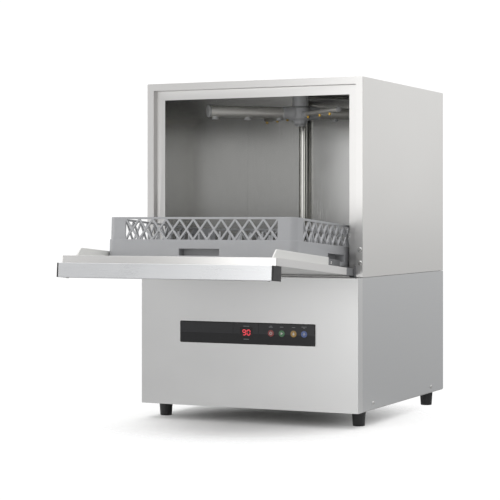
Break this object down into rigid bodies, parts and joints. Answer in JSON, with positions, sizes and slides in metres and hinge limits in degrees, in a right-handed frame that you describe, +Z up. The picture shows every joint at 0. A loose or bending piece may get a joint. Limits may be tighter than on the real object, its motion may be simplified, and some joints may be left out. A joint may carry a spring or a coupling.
{
  "type": "commercial dishwasher",
  "caption": "Front-loading stainless dishwasher with a drop-down door, spray rotors, a square plate rack and a black control strip.",
  "frame": {"origin": "on the floor, under the middle of the machine's whole length and width with its door open", "axes": "+Z up, front and open door towards -Y, +X to the right for someone facing the front"},
  "size_m": [0.594, 1.1074, 0.85],
  "materials": {
    "stainless_panel": "fine vertical grain, satin",
    "stainless_frame": "bright satin",
    "stainless_chamber": "smooth, half mirror",
    "stainless_inner": "satin",
    "hinge_casting": "grey, satin",
    "polished_tube": "polished",
    "hub_plastic": "dark grey, satin",
    "nozzle_plastic": "grey, satin",
    "jet_brass": "satin",
    "rail_plastic": "off-white, satin",
    "handle_aluminium": "satin anodised",
    "black_plastic": "fine texture",
    "screw_steel": "bright",
    "rack_plastic": "moulded, satin",
    "fascia_gloss": "gloss",
    "display_window": "dark red window",
    "board_green": "solder mask",
    "key_red": "translucent",
    "key_green": "translucent",
    "key_amber": "translucent",
    "key_blue": "translucent",
    "pump_black": "satin",
    "boiler_steel": "dull",
    "fitting_brass": "dull"
  },
  "bodies": {
    "cabinet": {"base_pan": "stainless_inner", "base_side_left": "stainless_panel", "base_side_right": "stainless_panel", "base_front_panel": "stainless_panel", "base_rear_panel": "stainless_panel", "hood_shell": "stainless_panel", "hood_rear_panel": "stainless_panel", "front_frame": "stainless_frame", "chamber_side_walls": "stainless_chamber", "chamber_rear_wall": "stainless_chamber", "chamber_ceiling": "stainless_chamber", "chamber_floor": "stainless_chamber", "wash_tank": "stainless_chamber", "filter_trays": "stainless_inner", "suction_strainer": "stainless_inner", "rack_rails": "stainless_inner", "supply_pipes": "polished_tube", "upper_hub_mount": "hub_plastic", "lower_hub_mount": "hub_plastic", "hinge_brackets": "stainless_inner", "control_fascia": "fascia_gloss", "display": "display_window", "control_board": "board_green", "wash_pump": "pump_black", "boiler": "boiler_steel", "drain_pump": "pump_black", "rear_fittings": "fitting_brass", "panel_screws": "screw_steel"},
    "door": {"door_outer_panel": "stainless_frame", "door_inner_panel": "stainless_frame", "door_guide_rails": "rail_plastic", "door_rail_brackets": "stainless_inner", "door_handle_bar": "handle_aluminium", "door_handle_caps": "black_plastic", "door_hinge_arms": "hinge_casting", "door_screws": "screw_steel"},
    "hinge_shaft": {"hinge_pins": "screw_steel"},
    "rack": {"rack_frame": "rack_plastic", "rack_floor": "rack_plastic", "rack_pegs": "rack_plastic"},
    "upper_rotor": {"upper_spray_hub": "hub_plastic", "upper_wash_tubes": "polished_tube", "upper_wash_nozzles": "nozzle_plastic", "upper_rinse_tubes": "polished_tube", "upper_rinse_jets": "jet_brass"},
    "lower_rotor": {"lower_spray_hub": "hub_plastic", "lower_wash_tubes": "polished_tube", "lower_wash_nozzles": "nozzle_plastic", "lower_rinse_tubes": "polished_tube", "lower_rinse_jets": "jet_brass"},
    "overflow": {"standpipe": "nozzle_plastic"},
    "pump_rotor": {"pump_impeller": "screw_steel"},
    "key_power": {"key_power": "key_red"},
    "key_cycle": {"key_cycle": "key_green"},
    "key_rinse": {"key_rinse": "key_amber"},
    "key_drain": {"key_drain": "key_blue"},
    "foot_front_left": {"foot_front_left": "black_plastic"},
    "foot_front_right": {"foot_front_right": "black_plastic"},
    "foot_rear_left": {"foot_rear_left": "black_plastic"},
    "foot_rear_right": {"foot_rear_right": "black_plastic"}
  },
  "joints": [
    {"name": "door_hinge", "type": "hinge", "parent": "cabinet", "child": "door", "pos_m": [0, -0.07433, 0.37], "axis": [-1, 0, 0], "range_deg": [0, 85.4]},
    {"name": "rack_lift_shaft", "type": "hinge", "parent": "cabinet", "child": "hinge_shaft", "pos_m": [0, -0.07433, 0.37], "axis": [-1, 0, 0], "range_deg": [0, 180.01]},
    {"name": "rack_lift_level", "type": "hinge", "parent": "hinge_shaft", "child": "rack", "pos_m": [0, -0.25213, 0.38173], "axis": [-1, 0, 0], "range_deg": [-183.64, 0]},
    {"name": "upper_rotor_spin", "type": "hinge", "parent": "cabinet", "child": "upper_rotor", "pos_m": [0, 0.22927, 0.785], "axis": [0, 0, 1], "continuous": true},
    {"name": "lower_rotor_spin", "type": "hinge", "parent": "cabinet", "child": "lower_rotor", "pos_m": [0, 0.22927, 0.334], "axis": [0, 0, 1], "continuous": true},
    {"name": "overflow_lift", "type": "slide", "parent": "cabinet", "child": "overflow", "axis": [0, 0, 1], "range_m": [0, 0.016]},
    {"name": "pump_rotor_spin", "type": "hinge", "parent": "cabinet", "child": "pump_rotor", "pos_m": [-0.128, 0.13927, 0.112], "axis": [1, 0, 0], "continuous": true},
    {"name": "key_power_press", "type": "slide", "parent": "cabinet", "child": "key_power", "axis": [0, 1, 0], "range_m": [0, 0.0015], "stiffness_N_per_m": 400, "springref_m": -0.001},
    {"name": "key_cycle_press", "type": "slide", "parent": "cabinet", "child": "key_cycle", "axis": [0, 1, 0], "range_m": [0, 0.0015], "stiffness_N_per_m": 400, "springref_m": -0.001},
    {"name": "key_rinse_press", "type": "slide", "parent": "cabinet", "child": "key_rinse", "axis": [0, 1, 0], "range_m": [0, 0.0015], "stiffness_N_per_m": 400, "springref_m": -0.001},
    {"name": "key_drain_press", "type": "slide", "parent": "cabinet", "child": "key_drain", "axis": [0, 1, 0], "range_m": [0, 0.0015], "stiffness_N_per_m": 400, "springref_m": -0.001},
    {"name": "screw_foot_front_left", "type": "hinge", "parent": "cabinet", "child": "foot_front_left", "pos_m": [-0.266, -0.02833, 0], "axis": [0, 0, 1], "range_deg": [-360, 360]},
    {"name": "screw_foot_front_right", "type": "hinge", "parent": "cabinet", "child": "foot_front_right", "pos_m": [0.266, -0.02833, 0], "axis": [0, 0, 1], "range_deg": [-360, 360]},
    {"name": "screw_foot_rear_left", "type": "hinge", "parent": "cabinet", "child": "foot_rear_left", "pos_m": [-0.266, 0.47567, 0], "axis": [0, 0, 1], "range_deg": [-360, 360]},
    {"name": "screw_foot_rear_right", "type": "hinge", "parent": "cabinet", "child": "foot_rear_right", "pos_m": [0.266, 0.47567, 0], "axis": [0, 0, 1], "range_deg": [-360, 360]}
  ],
  "couplings": [
    {"joint": "rack_lift_shaft", "follows": "door_hinge", "ratio": 2.1077},
    {"joint": "rack_lift_level", "follows": "door_hinge", "ratio": -2.1501}
  ]
}
